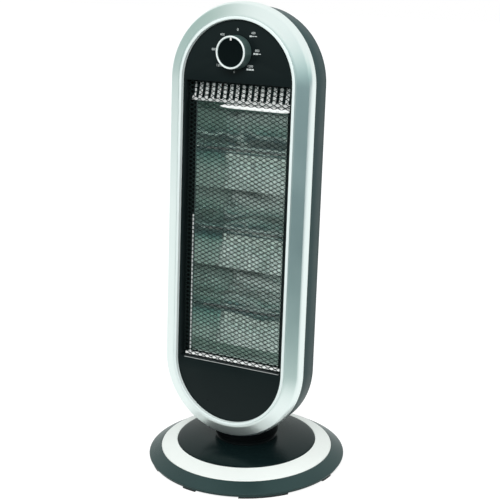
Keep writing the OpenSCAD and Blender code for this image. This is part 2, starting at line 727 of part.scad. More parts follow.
// Side view of the reflector's inside, grown outwards by the given amount.
function trough_points(i, grow) = let(w0 = trough_bottom + trough_pitch * i)
    [for (k = [0:10]) let(t = k / 10)
        [ridge_v + grow + (trough_v - ridge_v) * (1 - pow(2 * t - 1, 2)), w0 + trough_pitch * t]];
module reflector_section(grow, front) {
    polygon(concat([[front, bottom_w - grow]],
        [for (i = [0:lamp_count - 1]) for (p = trough_points(i, grow))
            [p.x, p.y + (i == 0 && p.y == trough_bottom ? -grow : 0)
                 + (i == lamp_count - 1 && p.y > trough_top - 0.01 ? grow : 0)]],
        [[front, comb_bottom + grow - 1]]));
}
module reflector() {
    step = (2 * (flange_half - 4) - comb_slot_w) / comb_slots;
    color([0.9, 0.91, 0.92]) head_place() difference() {
        union() {
            across(tray_half + reflector_t) reflector_section(reflector_t, frame_back);
            block(-flange_half, flange_half, frame_back, flange_back, bottom_w - 6, comb_top + 2);
        }
        across(tray_half) reflector_section(0, frame_back - over);
        for (i = [0:comb_slots - 1])
            block(-comb_slot_w / 2 + (i - (comb_slots - 1) / 2) * step,
                  comb_slot_w / 2 + (i - (comb_slots - 1) / 2) * step,
                  0, flange_back + over, comb_bottom + 3.5, comb_top - 0.8);
        for (i = [0:lamp_count - 1])
            rod_across(lamp_v, lamp_w(i), lamp_r + 1.5, -tray_half - 9, tray_half + 9);
    }
}
module shield_bosses() {
    for (w = [50, head_len - 100]) for (side = [-1, 1])
        translate([side * (shield_half - 5), 0, w]) children();
}
module heat_shield() {
    w0 = bottom_w + 2;
    w1 = comb_bottom - 4;
    color([0.72, 0.74, 0.75]) head_place() difference() {
        union() {
            difference() {
                block(-shield_half, shield_half, frame_back, shield_v + 1, w0, w1);
                block(-shield_half + 1, shield_half - 1, 0, shield_v, w0 - over, w1 + over);
            }
            shield_bosses() block(-5, 5, frame_back, frame_back + 1, -6, 6);
        }
        shield_bosses() rod_back(0, 0, screw_r, 0, far);
    }
}
module shield_screws() {
    color([0.6, 0.6, 0.6]) head_place() shield_bosses()
        translate([0, frame_back + 1 + 1.4, 0]) rotate([90, 0, 0]) screw(screw_r - 0.05, 2.8, 1.4, 4);
}

// ---- head: lamps
module lamp_tube(i) {
    half = cap_x0 + 6;
    color([0.85, 0.88, 0.9, 0.5]) head_place() difference() {
        rod_across(lamp_v, lamp_w(i), lamp_r, -half, half);
        rod_across(lamp_v, lamp_w(i), lamp_r - lamp_wall, -half - over, half + over);
    }
}
module filaments() {
    color([0.5, 0.45, 0.4]) head_place() for (i = [0:lamp_count - 1])
        rod_across(lamp_v, lamp_w(i), 1.1, -cap_x0 + 4, cap_x0 - 4);
}
module lamp_caps() {
    color([0.92, 0.91, 0.88]) head_place() for (i = [0:lamp_count - 1]) for (side = [0, 1])
        mirror([side, 0, 0]) {
            difference() {
                block(cap_x0, cap_x1, lamp_v - cap_side / 2, lamp_v + cap_side / 2,
                      lamp_w(i) - cap_side / 2, lamp_w(i) + cap_side / 2);
                rod_across(lamp_v, lamp_w(i), lamp_r + 0.05, cap_x0 - over, cap_x0 + 6.1);
            }
            rod_across(lamp_v, lamp_w(i), stub_r, cap_x0 - 4, cap_x0 + 6.1);
        }
}
module lamp_rails() {
    w0 = lamp_w(0) - 16;
    w1 = lamp_w(lamp_count - 1) + 16;
    x0 = tray_half + reflector_t;
    color([0.68, 0.7, 0.71]) head_place() for (side = [0, 1]) mirror([side, 0, 0]) difference() {
        union() {
            block(x0, cap_x1 - 1, rail_v, rail_v + 1, w0, w1);
            block(x0, x0 + 0.8, lamp_v - 10, rail_v + 1, w0, w1);
        }
        for (i = [0:lamp_count - 1]) rod_across(lamp_v, lamp_w(i), lamp_r + 0.6, 0, cap_x0);
    }
}

// ---- head: electrics
module rotary_switch() {
    color([0.85, 0.83, 0.75]) head_place() difference() {
        union() {
            block(knob_x - switch_half, knob_x + switch_half, panel_back, switch_back,
                  knob_w - switch_half, knob_w + switch_half);
            rod_back(knob_x, knob_w, bushing_r, panel_v - 3, panel_back + over);
            for (k = [-1:1]) block(knob_x + k * 8 - 1, knob_x + k * 8 + 1, switch_back - 0.5,
                                   switch_back + 6, knob_w - 9, knob_w - 8);
        }
        rod_back(knob_x, knob_w, shaft_r + run_gap, 0, panel_back + 12);
    }
}
module switch_nut() {
    color([0.65, 0.65, 0.66]) head_place() difference() {
        translate([knob_x, panel_v - 2.2, knob_w]) rotate([-90, 0, 0])
            cylinder(r = bushing_r + 3.5, h = 2.2, $fn = 6);
        rod_back(knob_x, knob_w, bushing_r, 0, panel_v + over);
    }
}
module thermal_cutout() {
    v = shield_v + 1;
    w = lamp_w(lamp_count - 1);
    color([0.9, 0.9, 0.88]) head_place() {
        rod_back(0, w, 8.5, v, v + 6);
        block(-12, 12, v, v + 0.8, w - 5, w + 5);
        for (side = [-1, 1]) block(side * 5 - 1.5, side * 5 + 1.5, v + 5.5, v + 12, w - 0.4, w + 0.4);
    }
}
module terminal_block() {
    top = shelf_z + bracket_t;
    color([0.93, 0.92, 0.88]) translate([terminal_at.x - 15, terminal_at.y - 6.5, top]) difference() {
        cube(terminal_size);
        for (k = [0:2]) translate([5 + k * 10, 6.5, 8]) cylinder(r = 2, h = 10);
    }
}
// A bundle of leads: rods that meet at tied knots, along points in the head's own directions.
module wiring() {
    x = wire_air - shell_inner_r;
    v = shield_v + 1 + wire_r + 0.6;
    low = [terminal_at.x, terminal_v, terminal_w];
    route = [low, [terminal_at.x, v, -10], [x, v, 24], [x, v, head_len - 20],
             [x + 14, v - 7, head_len + 6], [knob_x, switch_back + 6.7 + wire_r, knob_w - 8.5]];
    color([0.55, 0.2, 0.15]) head_place() {
        for (i = [0:len(route) - 2]) lead(route[i], route[i + 1]);
        for (p = route) translate(p) sphere(wire_r + 0.4);
    }
}
module lead(a, b) {
    d = b - a;
    translate(a) rotate([0, acos(d.z / norm(d)), atan2(d.y, d.x)]) cylinder(r = wire_r, h = norm(d));
}

// ---- knob
module knob_place() {
    head_place() translate([knob_x, 0, knob_w]) rotate([-90, 0, 0]) children();
}
module knob() {
    skin = 2.2;
    face_t = 3.2;
    color([0.16, 0.17, 0.18]) knob_place() difference() {
        rotate_extrude() polygon(concat(
            [[0, knob_face + 0.5], [knob_r - 3.4, knob_face + 0.5], [knob_r - 3.4, knob_face]],
            curve([knob_r - 0.8, knob_face], [knob_r - 0.1, knob_face], [knob_r - 0.1, knob_face + 0.8], 3),
            [[knob_r, knob_back], [knob_r - skin, knob_back], [knob_r - skin, knob_face + face_t],
             [shaft_r + 2.4, knob_face + face_t], [shaft_r + 2.4, panel_v - 3.6], [0, panel_v - 3.6]]));
        translate([0, 0, knob_face + 2.5]) cylinder(r = shaft_r + 0.02, h = 40);
    }
}
module knob_ring() {
    color([0.9, 0.9, 0.9]) knob_place() rotate_extrude() polygon(concat(
        [[knob_r - 3.2, knob_face], [knob_r - 3.2, knob_face - 0.3]],
        curve([knob_r - 2.8, knob_face - 0.8], [knob_r - 1.8, knob_face - 1.1],
              [knob_r - 0.9, knob_face - 0.8], 4),
        [[knob_r - 0.5, knob_face - 0.3], [knob_r - 0.5, knob_face]]));
}
module knob_pointer() {
    color([0.95, 0.95, 0.95]) knob_place() translate([-1.1, -knob_r + 3.6, knob_face - 0.1])
        cube([2.2, 5.2, 0.6]);
}
module switch_shaft() {
    color([0.8, 0.78, 0.7]) knob_place() translate([0, 0, knob_face + 2.5])
        cylinder(r = shaft_r, h = panel_back + 11 - knob_face - 2.5);
}

base_plate();
base_weight();
base_cover();
base_ring();
feet();
base_screws();
pivot_tube();
thrust_washer();
pivot_nut();
swing_gear();
swing_stop();
cord_gland();
tip_switch();
tip_spring();
tip_plunger();
neck_shroud();
swing_bracket();
swing_bush();
swing_motor();
motor_screws();
front_bezel();
front_panel();
rear_cover();
cover_screws();
inner_frame();
guard_mesh();
guard_frame();
reflector();
heat_shield();
shield_screws();
lamp_tube(lamp_count - 1);  // lamp_tube_top
lamp_tube(floor(lamp_count / 2));  // lamp_tube_middle
lamp_tube(0);  // lamp_tube_bottom
filaments();
lamp_caps();
lamp_rails();
rotary_switch();
switch_nut();
thermal_cutout();
terminal_block();
wiring();
knob();
knob_ring();
knob_pointer();
switch_shaft();
drive_pinion();
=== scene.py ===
import json
import math

import bpy
import bmesh
from mathutils import Matrix, Vector, noise


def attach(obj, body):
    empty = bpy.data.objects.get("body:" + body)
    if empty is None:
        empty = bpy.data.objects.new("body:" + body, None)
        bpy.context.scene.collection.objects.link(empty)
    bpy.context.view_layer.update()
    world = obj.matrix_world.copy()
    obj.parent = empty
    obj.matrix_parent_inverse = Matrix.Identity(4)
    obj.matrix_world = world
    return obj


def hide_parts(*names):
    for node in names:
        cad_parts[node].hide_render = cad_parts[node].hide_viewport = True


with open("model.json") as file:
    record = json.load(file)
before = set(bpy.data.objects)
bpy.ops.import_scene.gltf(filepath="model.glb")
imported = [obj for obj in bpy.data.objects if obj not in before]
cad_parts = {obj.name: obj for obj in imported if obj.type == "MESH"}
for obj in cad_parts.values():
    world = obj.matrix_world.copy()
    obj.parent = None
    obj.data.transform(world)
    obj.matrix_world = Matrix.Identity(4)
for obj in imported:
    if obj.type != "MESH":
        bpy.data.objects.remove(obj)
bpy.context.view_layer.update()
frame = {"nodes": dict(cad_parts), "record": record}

# ---------------------------------------------------------------- sizes, in millimetres
MM = 0.001
# Inside the head, x runs to the right, v back from the lip and w up from the lower arc's centre.
LEAN = math.radians(4)
HEAD_PLACE = Matrix.Translation((0, -52, 145.5)) @ Matrix.Rotation(-LEAN, 4, "X")
HEAD_LEN, HEAD_DEPTH = 358, 105
ARC_STEPS, SIDE_STEPS = 72, 16
LIP_R, LIP_W = 76.6, 3.6
BEZEL_R, BEZEL_DEPTH = 98, 22
SHELL_R, SHELL_SIDE_V, SHELL_DROP, WALL = 92.5, 62, 5, 2.4
BACK_INSET = 33
BACK_R = SHELL_R - BACK_INSET
LOUVRE_HALF, LOUVRE_H = 42, 4
LOUVRE_ROWS = [low + i * 9 for low in (8, HEAD_LEN - 62) for i in range(9)]
BOSSES = [(side * x, w) for side in (-1, 1) for x, w in ((36, HEAD_LEN + 36), (50, -22))]
BOSS_R, WELL_R, WELL_MOUTH_R, WELL_FLOOR = 4.8, 3.4, 4.6, 24.2
PANEL_V, PANEL_T, PANEL_R = 4.6, 2.4, 79.4
FRAME_V, FRAME_BACK = 17, 18.2
OPEN_HALF, OPEN_WALL = 72.5, 1.6
GUARD_V, GUARD_HALF, GUARD_LOW, GUARD_TOP = 12.6, OPEN_HALF - 0.2, 0.2, HEAD_LEN - 0.2
SHEET_HALF, FLANGE_V = 63.3, 19.2
COMB_TOP, COMB_BOTTOM, COMB_X = 357, 333, -2.7
COMB_TEETH, COMB_PITCH, TOOTH_HALF = 16, 8.65, 2.225
HIGHLIGHT_BAR_W = 328.6
LAMPS, LAMP_V, LAMP_R = 3, 36, 5
RIDGE_V, TROUGH_V, TROUGH_BOTTOM, TROUGH_TOP = 44, 59, 13, 323
TROUGH_PITCH = (TROUGH_TOP - TROUGH_BOTTOM) / LAMPS
KNOB_X, KNOB_W = -1.5, HEAD_LEN + 37.5
KNOB_PLACE = (HEAD_PLACE @ Matrix.Translation((KNOB_X, 0, KNOB_W))
              @ Matrix.Rotation(-math.pi / 2, 4, "X"))
KNOB_R, KNOB_FACE, KNOB_BACK, SHAFT_HOLE_R = 20.4, -12.2, 3.8, 4.7
# The neck and the base are turned round z.
NECK_R, NECK_Z, NECK_TOP, NECK_HOLE_R = 42, 37, 62, 36
BASE_R, RIM_Z, DOME_Z, COLLAR_R, COLLAR_Z, PIVOT_HOLE_R = 130, 7, 31, 39, 36, 20.3
BASE_WALL = 2.6
RING_OUT, RING_IN, RING_T = (113.5, 17), (92, 25), 1.3
GLAND_R, GLAND_Z = 4.65, 11


# ---------------------------------------------------------------- mesh helpers
def bend(a, b, c, n):
    """Points of a quadratic curve from a to c that is drawn towards b."""
    out = []
    for i in range(n + 1):
        t = i / n
        out.append(tuple(p * (1 - t) ** 2 + q * 2 * t * (1 - t) + r * t * t
                         for p, q, r in zip(a, b, c)))
    return out


def circle(r, n):
    return [(r * math.cos(2 * math.pi * k / n), r * math.sin(2 * math.pi * k / n))
            for k in range(n)]


def make(name, points, faces, place=Matrix(), sharp=32):
    """A mesh object from points in millimetres. Only edges that turn by more than sharp show."""
    mesh = bpy.data.meshes.new(name)
    mesh.from_pydata([(place @ Vector(p)) * MM for p in points], [], faces)
    return finish_mesh(name, mesh, sharp)


def smooth(mesh, sharp):
    mesh.shade_smooth()
    mesh.set_sharp_from_angle(angle=math.radians(sharp))


def finish_mesh(name, mesh, sharp=32):
    bm = bmesh.new()
    bm.from_mesh(mesh)
    bmesh.ops.remove_doubles(bm, verts=bm.verts, dist=2e-6)
    bmesh.ops.recalc_face_normals(bm, faces=bm.faces)
    bm.to_mesh(mesh)
    bm.free()
    smooth(mesh, sharp)
    obj = bpy.data.objects.new(name, mesh)
    bpy.context.scene.collection.objects.link(obj)
    return obj


def loft(loops, round_trip=False, ends=False):
    """Faces between loops of points. The loops are closed, and the last can join the first."""
    points = [p for loop in loops for p in loop]
    n, m = len(loops), len(loops[0])
    faces = []
    for i in range(n if round_trip else n - 1):
        a, b = i * m, (i + 1) % n * m
        for k in range(m):
            j = (k + 1) % m
            faces.append((a + k, a + j, b + j, b + k))
    if ends:
        faces += [tuple(range(m))[::-1], tuple(range((n - 1) * m, n * m))]
    return points, faces


def strip(rows):
    """Faces between open rows of points."""
    points = [p for row in rows for p in row]
    m = len(rows[0])
    faces = [(i * m + k, i * m + k + 1, (i + 1) * m + k + 1, (i + 1) * m + k)
             for i in range(len(rows) - 1) for k in range(m - 1)]
    return points, faces


def lathe(profile, n):
    """Revolves a closed outline of (radius, z) round z."""
    return loft([[(r * c, r * s, z) for r, z in profile] for c, s in circle(1, n)],
                round_trip=True)


def lathe_solid(rings, n=96):
    """A closed turned solid from rings of (radius, z)."""
    return loft([[(x, y, z) for x, y in circle(r, n)] for r, z in rings], ends=True)


def stadium(low):
    """Stations round the head's outline: direction x, direction w, height of the centre."""
    turn = [math.pi * i / ARC_STEPS for i in range(ARC_STEPS + 1)]
    down = [HEAD_LEN + (low - HEAD_LEN) * i / SIDE_STEPS for i in range(1, SIDE_STEPS)]
    up = [low + (HEAD_LEN - low) * i / SIDE_STEPS for i in range(1, SIDE_STEPS)]
    return ([(math.cos(a), math.sin(a), HEAD_LEN) for a in turn] + [(-1, 0, w) for w in down]
            + [(-math.cos(a), -math.sin(a), low) for a in turn] + [(1, 0, w) for w in up])


def swept(profile):
    """Sweeps a closed outline of (radius, depth) round the head."""
    return loft([[(dx * r, v, c + dw * r) for r, v in profile] for dx, dw, c in stadium(0)],
                round_trip=True)


def stacked(rings, low=0):
    """A closed solid of the head's outline from rings of (radius, depth)."""
    return loft([[(dx * r, v, c + dw * r) for dx, dw, c in stadium(low)] for r, v in rings],
                ends=True)


def box_mesh(x0, x1, y0, y1, z0, z1):
    points = [(x, y, z) for z in (z0, z1) for x, y in ((x0, y0), (x1, y0), (x1, y1), (x0, y1))]
    faces = [(3, 2, 1, 0), (4, 5, 6, 7), (0, 1, 5, 4), (1, 2, 6, 5), (2, 3, 7, 6), (3, 0, 4, 7)]
    return points, faces


def round_cutter(x, w, rings):
    """A round pin along the head's depth, from rings of (radius, depth)."""
    return loft([[(x + a, v, w + b) for a, b in circle(r, 32)] for r, v in rings], ends=True)


def bar_mesh(outline, x0, x1):
    """A straight bar along x from its outline of (depth, height)."""
    return loft([[(x, v, w) for v, w in outline] for x in (x0, x1)], ends=True)


def tube(path, radius, sides=8):
    """A round wire along points, with its frame carried from one point to the next."""
    pts = [Vector(p) for p in path]
    loops, side = [], None
    for i, p in enumerate(pts):
        t = (pts[min(i + 1, len(pts) - 1)] - pts[max(i - 1, 0)]).normalized()
        if side is None:
            side = t.orthogonal().normalized()
        side = (side - t * side.dot(t)).normalized()
        other = t.cross(side)
        loops.append([tuple(p + radius * (c * side + s * other)) for c, s in circle(1, sides)])
    return loft(loops, ends=True)


def join(*parts):
    points, faces = [], []
    for p, f in parts:
        k = len(points)
        points += p
        faces += [tuple(i + k for i in face) for face in f]
    return points, faces


def moved(part, matrix):
    return [tuple(matrix @ Vector(p)) for p in part[0]], part[1]


def bake(obj, sharp=32):
    """Turns an object's modifiers into its mesh."""
    bpy.context.view_layer.update()
    done = bpy.data.meshes.new_from_object(
        obj.evaluated_get(bpy.context.evaluated_depsgraph_get()))
    obj.modifiers.clear()
    obj.data = done
    smooth(done, sharp)


def boolean(obj, cutter, operation="DIFFERENCE"):
    """Cuts or joins with another object, which is then removed."""
    m = obj.modifiers.new("cut", "BOOLEAN")
    m.operation, m.solver, m.object = operation, "EXACT", cutter
    bake(obj)
    bpy.data.objects.remove(cutter)


def thicken(obj, depth, sharp):
    """Gives a sheet its thickness, half of it to each side."""
    m = obj.modifiers.new("thickness", "SOLIDIFY")
    m.thickness, m.offset = depth * MM, 0
    bake(obj, sharp)


def bevel(obj, width, segments):
    m = obj.modifiers.new("bevel", "BEVEL")
    m.width, m.segments = width * MM, segments
    m.limit_method, m.angle_limit = "ANGLE", math.radians(40)


def fit(obj, body, slot, material, *nodes):
    """Gives a piece its finish, its body and the CAD nodes that it stands for."""
    obj.data.materials.clear()
    obj.data.materials.append(material)
    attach(obj, body)
    if nodes:
        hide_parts(*nodes)


# ---------------------------------------------------------------- material helpers
class Nodes:
    """Short names for adding and joining shader nodes."""

    def __init__(self, tree):
        self.tree = tree
        tree.nodes.clear()

    def add(self, kind, inputs=(), **settings):
        node = self.tree.nodes.new("ShaderNode" + kind)
        for key, value in settings.items():
            setattr(node, key, value)
        for key, value in dict(inputs).items():
            if isinstance(value, bpy.types.NodeSocket):
                self.tree.links.new(value, node.inputs[key])
            else:
                node.inputs[key].default_value = value
        return node

    def noise(self, vector, scale, detail, rough):
        return self.add("TexNoise", {"Vector": vector, "Scale": scale, "Detail": detail,
                                     "Roughness": rough}).outputs["Fac"]

    def math(self, operation, a, b=0.0):
        return self.add("Math", {0: a, 1: b}, operation=operation).outputs[0]

    def spread(self, value, low, high, from_low=0.3, from_high=0.7):
        """Maps from_low..from_high to low..high, and holds what lies beyond."""
        return self.add("MapRange", {"Value": value, "From Min": from_low, "From Max": from_high,
                                     "To Min": low, "To Max": high}).outputs["Result"]

    def ramp(self, value, stops):
        node = self.add("ValToRGB", {"Fac": value})
        bar = node.color_ramp.elements
        while len(bar) < len(stops):
            bar.new(0.5)
        for element, (place, color) in zip(bar, stops):
            element.position = place
            element.color = (*color, 1)
        return node.outputs["Color"]

    def scaled(self, vector, scale):
        return self.add("Mapping", {"Vector": vector, "Scale": scale}).outputs["Vector"]

    def relief(self, height, strength, depth):
        """Bump of a depth in millimetres."""
        return self.add("Bump", {"Height": height, "Strength": strength,
                                 "Distance": depth * MM}).outputs["Normal"]

    def finish(self, **sockets):
        """The shader of the material, with sockets named in full, blanks as underscores."""
        shader = self.add("BsdfPrincipled", {k.replace("_", " "): v for k, v in sockets.items()})
        self.add("OutputMaterial", {"Surface": shader.outputs[0]})


def new_material(name):
    """An empty node material, its nodes and its object coordinates."""
    material = bpy.data.materials.new(name)
    material.use_nodes = True
    n = Nodes(material.node_tree)
    return material, n, n.add("TexCoord").outputs["Object"]


def shade(color, k):
    return tuple(min(1.0, c * k) for c in color)


def gloss(level, tint=(0.68, 0.98, 0.95, 1)):
    """How strongly a dark plastic mirrors, and the cold tint of it."""
    return {"Specular_IOR_Level": level, "Specular_Tint": tint}


def surface(name, color, rough, tone=0.12, drift=0.05, grain=900.0, bump=0.05, depth=0.02,
            mottle=14.0, metallic=0.0, **sockets):
    """A painted, moulded or metal finish: tone and gloss drift slowly, and a fine grain breaks
    the light. Scales are per metre, and the grain's depth is in millimetres."""
    material, n, place = new_material(name)
    slow = n.noise(place, mottle, 4.0, 0.55)
    fine = n.noise(place, grain, 2.0, 0.6)
    mix = n.math("ADD", n.math("MULTIPLY", slow, 0.7), n.math("MULTIPLY", fine, 0.3))
    n.finish(Base_Color=n.ramp(mix, [(0.3, shade(color, 1 - tone)), (0.7, shade(color, 1 + tone))]),
             Roughness=n.spread(slow, rough - drift, rough + drift), Metallic=metallic,
             Normal=n.relief(fine, bump, depth), **sockets)
    return material


def spangle(name, color, rough):
    """Galvanised sheet: flat crystal patches of different tone."""
    material, n, place = new_material(name)
    cells = n.add("TexVoronoi", {"Vector": place, "Scale": 160.0}).outputs["Color"]
    tone = n.add("SeparateColor", {"Color": cells}).outputs
    n.finish(Base_Color=n.ramp(tone[0], [(0.0, shade(color, 0.8)), (1.0, shade(color, 1.12))]),
             Roughness=n.spread(tone[2], rough - 0.08, rough + 0.08, 0, 1), Metallic=1.0,
             Normal=n.relief(tone[1], 0.1, 0.02))
    return material


def rolled(name, color, rough):
    """Bright rolled aluminium: long faint streaks along x and soft dents."""
    material, n, place = new_material(name)
    streak = n.noise(n.scaled(place, (0.05, 1, 1)), 700.0, 2.0, 0.6)
    dents = n.noise(n.scaled(place, (0.35, 1, 1)), 60.0, 2.0, 0.5)
    stain = n.noise(place, 22.0, 5.0, 0.6)
    height = n.math("ADD", n.math("MULTIPLY", streak, 0.03), dents)
    n.finish(Base_Color=n.ramp(stain, [(0.3, shade(color, 0.84)), (0.7, color)]),
             Roughness=n.spread(streak, rough - 0.03, rough + 0.03), Metallic=0.85,
             Normal=n.relief(height, 0.5, 0.4))
    return material


def glass(name):
    """Thin clear quartz with a faint uneven haze."""
    material, n, place = new_material(name)
    haze = n.noise(n.scaled(place, (0.2, 1, 1)), 120.0, 3.0, 0.6)
    tint = n.ramp(haze, [(0.3, (0.93, 0.95, 0.96)), (0.7, (0.99, 1.0, 1.0))])
    n.finish(Base_Color=tint, Roughness=n.spread(haze, 0.0, 0.05), Transmission_Weight=1.0,
             IOR=1.46)
    return material


# ---------------------------------------------------------------- finishes
PAINT = {"tone": 0.02, "drift": 0.03, "grain": 2600, "bump": 0.06}
silver = surface("silver_paint", (0.86, 0.91, 0.9), 0.33, metallic=0.93, **PAINT)
lip_silver = surface("silver_lip", (0.83, 0.93, 0.915), 0.5, metallic=0.1, **PAINT)
trim_silver = surface("silver_trim", (0.87, 0.915, 0.885), 0.5, metallic=0.15, **PAINT)

MOULDED = {"drift": 0.04, "grain": 1500, "depth": 0.03}
shell_grey = surface("shell_grey", (0.025, 0.058, 0.061), 0.38, bump=0.12, **MOULDED, **gloss(0.08))
base_grey = surface("base_grey", (0.022, 0.043, 0.043), 0.3, bump=0.08, **MOULDED, **gloss(0.27))
# Painted shade: the base cover's dome under the head is darker than the rest of the cover, as the
# head's shade falls on it.
dome_painted_shade = surface("dome_painted_shade", (0.004, 0.01, 0.0105), 0.24, bump=0.05, **MOULDED, **gloss(0.11))
neck_black = surface("neck_black", (0.003, 0.0035, 0.004), 0.3, **gloss(0.08))
panel_black = surface("panel_black", (0.0072, 0.0118, 0.0123), 0.3, drift=0.03, grain=2200,
                      bump=0.1, depth=0.03, **gloss(0.11, (0.85, 0.97, 0.96, 1)))
trim_black = surface("moulded_black", (0.012, 0.012, 0.014), 0.5, grain=1400, bump=0.12)
knob_black = surface("knob_black", (0.002, 0.004, 0.0045), 0.18, grain=700, bump=0.02,
                     **gloss(0.06))
knob_side = surface("knob_side", (0.08, 0.135, 0.127), 0.4, drift=0.04, grain=1600, bump=0.06,
                    metallic=0.2)
ring_silver = surface("ring_silver", (0.9, 0.96, 0.95), 0.35, tone=0.03, grain=1800, bump=0.03,
                      metallic=0.2)
legend_white = surface("legend_ink", (0.6, 0.66, 0.65), 0.6, tone=0.06, grain=1600, bump=0.04)
white_plastic = surface("white_moulding", (0.8, 0.8, 0.77), 0.4, tone=0.03)
cream_plastic = surface("cream_moulding", (0.72, 0.68, 0.55), 0.42, tone=0.04)
red_plastic = surface("red_moulding", (0.55, 0.06, 0.04), 0.4, tone=0.06)
sleeve = surface("glass_sleeve", (0.07, 0.014, 0.012), 0.8, tone=0.3, grain=1300, bump=0.6,
                 depth=0.1, mottle=60)
rubber = surface("rubber", (0.012, 0.013, 0.013), 0.75, tone=0.2, grain=1200, bump=0.25, depth=0.04)
ceramic = surface("ceramic", (0.82, 0.81, 0.77), 0.25, tone=0.04, grain=300, bump=0.1)

iron = surface("cast_iron", (0.09, 0.09, 0.095), 0.6, tone=0.25, grain=500, bump=0.7, depth=0.2,
               metallic=0.6)
dark_steel = surface("dark_steel", (0.06, 0.065, 0.07), 0.5, bump=0.2, depth=0.05)
black_steel = surface("black_steel", (0.004, 0.005, 0.005), 0.6, bump=0.2, depth=0.05,
                      **gloss(0.11))
zinc = surface("zinc_steel", (0.55, 0.56, 0.57), 0.34, tone=0.15, grain=600, bump=0.15,
               metallic=1.0)
mesh_steel = surface("mesh_steel", (0.013, 0.022, 0.021), 0.42, tone=0.25, grain=800, bump=0.1,
                     **gloss(0.11))
filament_wire = surface("filament_wire", (0.3, 0.28, 0.26), 0.45, tone=0.15, metallic=1.0)
# Near-white copies of the reflector's aluminium, which paint highlights: the first paints the lit
# edge under the sill, the second the glare on the comb, the sill and the bright bars.
edge_highlight_white = surface("edge_highlight_white", (0.97, 0.99, 0.975), 0.16, tone=0.02, grain=300, bump=0.3,
                      depth=0.1, metallic=0.5)
highlight_white = surface("highlight_white", (0.97, 1.0, 0.98), 0.3, tone=0.02, grain=500, bump=0.2,
                     metallic=0.25)
galvanised = spangle("galvanised", (0.6, 0.62, 0.63), 0.38)
mirror = rolled("rolled_aluminium", (0.6, 0.71, 0.665), 0.1)
quartz = glass("quartz")

SLOT_MATERIALS = {
    "silver_plastic": silver, "grey_gloss_plastic": shell_grey, "black_gloss_plastic": neck_black,
    "black_plastic": trim_black, "white_plastic": white_plastic, "cream_plastic": cream_plastic,
    "red_plastic": red_plastic, "red_sleeve": sleeve, "black_rubber": rubber, "cast_iron": iron,
    "dark_steel": dark_steel, "black_steel": black_steel, "zinc_steel": zinc,
    "galvanised_steel": galvanised, "dark_mesh": mesh_steel, "mirror_aluminium": mirror,
    "knob_chrome": ring_silver, "quartz_glass": quartz, "filament_wire": filament_wire,
    "white_ceramic": ceramic,
}


def dress_cad_nodes():
    """Every carried-over CAD node takes the finish of its material slot."""
    slots = {n["node"]: n["material_slot"] for n in frame["record"]["subparts"]}
    for name, obj in frame["nodes"].items():
        obj.data.materials.clear()
        obj.data.materials.append(SLOT_MATERIALS[slots[name]])


# ---------------------------------------------------------------- head mouldings
def front_ring():
    """Its outline, as (radius, depth): panel seat, lip, groove, sloping face, side band, inside."""
    lip_out, inner = LIP_R + LIP_W, BEZEL_R - WALL
    profile = [(LIP_R - 0.4, PANEL_V), (LIP_R, 2.8), (LIP_R, 0.9)]
    profile += bend((LIP_R, 0.8), (LIP_R, 0), (LIP_R + 0.9, 0), 5)
    profile += [(LIP_R + LIP_W * 0.5, 0)]
    profile += bend((lip_out - 0.7, 0), (lip_out, 0.1), (lip_out + 0.1, 1.4), 6)
    profile += bend((80.4, 1.75), (80.6, 1.75), (81, 1.75), 2)
    profile += bend((81.4, 1.77), (88.2, 4.75), (94.5, 7.3), 6)
    profile += bend((94.9, 7.47), (95.4, 7.7), (95.8, 8.3), 4)
    profile += bend((96.0, 8.6), (97.9, 11.2), (BEZEL_R, 14.5), 8)
    profile += bend((BEZEL_R, BEZEL_DEPTH - 0.6), (BEZEL_R, BEZEL_DEPTH),
                    (BEZEL_R - 0.6, BEZEL_DEPTH), 3)
    profile += [(88, BEZEL_DEPTH), (88, BEZEL_DEPTH - WALL), (inner, BEZEL_DEPTH - WALL)]
    profile += [(inner, 12.8), (94.2, 10.1), (79.4, 3.9), (LIP_R + 1.9, 3.9)]
    profile += [(LIP_R + 1.9, PANEL_V)]
    obj = make("front_ring", *swept(profile), HEAD_PLACE, sharp=24)
    fit(obj, "head", "silver_plastic", silver, "front_bezel")

    obj.data.materials.append(lip_silver)
    to_head = HEAD_PLACE.inverted()
    for face in obj.data.polygons:
        x, v, w = to_head @ (face.center / MM)
        away = math.hypot(x, w - min(max(w, 0), HEAD_LEN))
        lip_depth = 0.75 if away > LIP_R + 0.1 else 4.4
        if away < lip_out + 0.05 and v < lip_depth:
            face.material_index = 1


def shell_outline():
    """The rear shell's outside, from the front ring to the edge of the flat back."""
    bulge = (SHELL_R - BACK_INSET * 0.42, SHELL_SIDE_V + (HEAD_DEPTH - SHELL_SIDE_V) * 0.6)
    side = bend((SHELL_R, SHELL_SIDE_V), bulge, (BACK_R + 4, HEAD_DEPTH - 2.8), 28)
    edge = bend(side[-1], (BACK_R + 0.8, HEAD_DEPTH), (BACK_R - 4, HEAD_DEPTH), 6)
    front = [(SHELL_R, BEZEL_DEPTH), (SHELL_R, BEZEL_DEPTH + 1), (SHELL_R, 42)]
    return front + side + edge[1:]


def louvre_cutter(w):
    """A louvre slot with round ends and a chamfered mouth."""
    loops = []
    for v, grow in ((HEAD_DEPTH - 6, 0), (HEAD_DEPTH - 0.7, 0), (HEAD_DEPTH + 0.5, 1.1)):
        r = LOUVRE_H / 2 + grow
        loop = []
        for side in (1, -1):
            for k in range(9):
                a = math.pi * (k / 8 - 0.5)
                loop.append((side * (LOUVRE_HALF - LOUVRE_H / 2) + side * r * math.cos(a), v,
                             w + LOUVRE_H / 2 + side * r * math.sin(a)))
        loops.append(loop)
    return loft(loops, ends=True)


